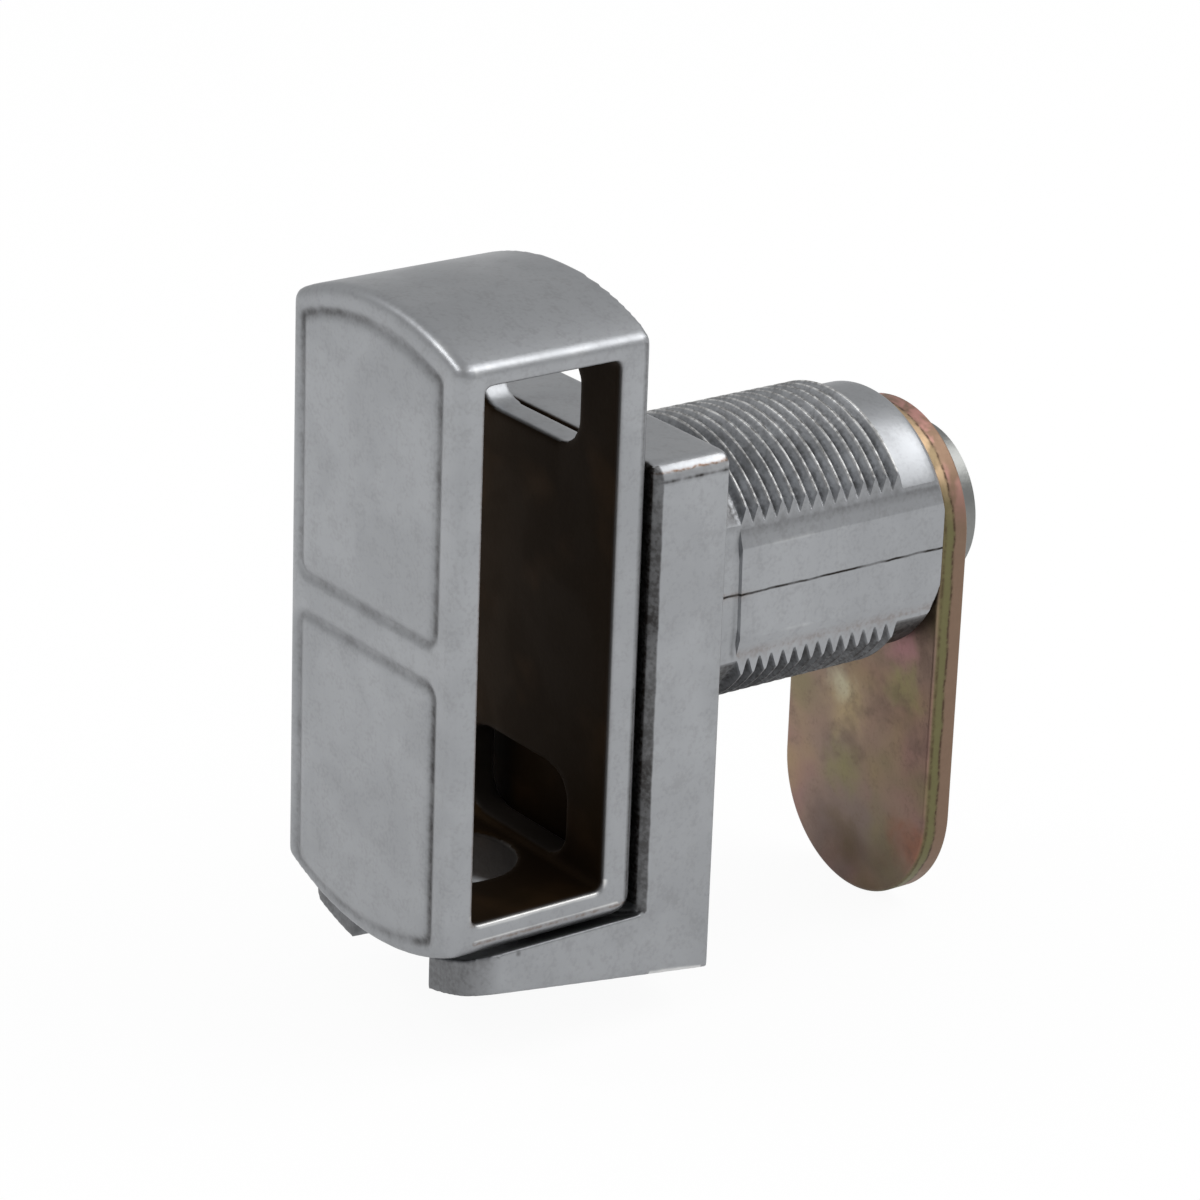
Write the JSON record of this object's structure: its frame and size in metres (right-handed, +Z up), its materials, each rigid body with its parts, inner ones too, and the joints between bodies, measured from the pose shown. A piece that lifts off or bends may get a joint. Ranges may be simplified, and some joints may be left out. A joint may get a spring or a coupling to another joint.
{
  "type": "padlock cam latch",
  "caption": "Padlock latch for a mailbox door: a loop handle turns a flat cam behind the door, and a padlock through the handle and foot holds it shut.",
  "frame": {"origin": "on the barrel's axis, in the plane of the base plate's rear face, which is the door's outer face", "axes": "+Y along the barrel, from the user through the door into the box; +Z up, away from the foot; +X to the right as the user sees it"},
  "size_m": [0.0208, 0.0486, 0.0515],
  "materials": {
    "chromed_zinc": "satin chrome plate on a zinc casting, worn at the edges",
    "nylon": "plain black nylon",
    "rubber": "smooth black rubber",
    "spring_steel": "bright steel",
    "zinc_blue": "steel with blue zinc plate",
    "zinc_yellow": "steel with yellow passivated zinc plate, mottled pink, green and gold"
  },
  "bodies": {
    "fixed": {"housing": "chromed_zinc", "thrust_washer": "nylon"},
    "rotor": {"handle": "chromed_zinc", "seal_ring": "rubber", "detent_spring": "spring_steel", "stop_washer": "zinc_blue", "cam": "zinc_yellow", "lock_washer": "zinc_blue", "cam_screw": "zinc_blue"},
    "detent": {"detent_ball": "spring_steel"}
  },
  "joints": [
    {"name": "handle_turn", "type": "hinge", "parent": "fixed", "child": "rotor", "pos_m": [0, 0, 0], "axis": [0, 1, 0], "range_deg": [0, 90]},
    {"name": "detent_click", "type": "slide", "parent": "rotor", "child": "detent", "axis": [0, 0, -1], "range_m": [0, 0.00035], "stiffness_N_per_m": 200, "springref_m": 0.002}
  ]
}
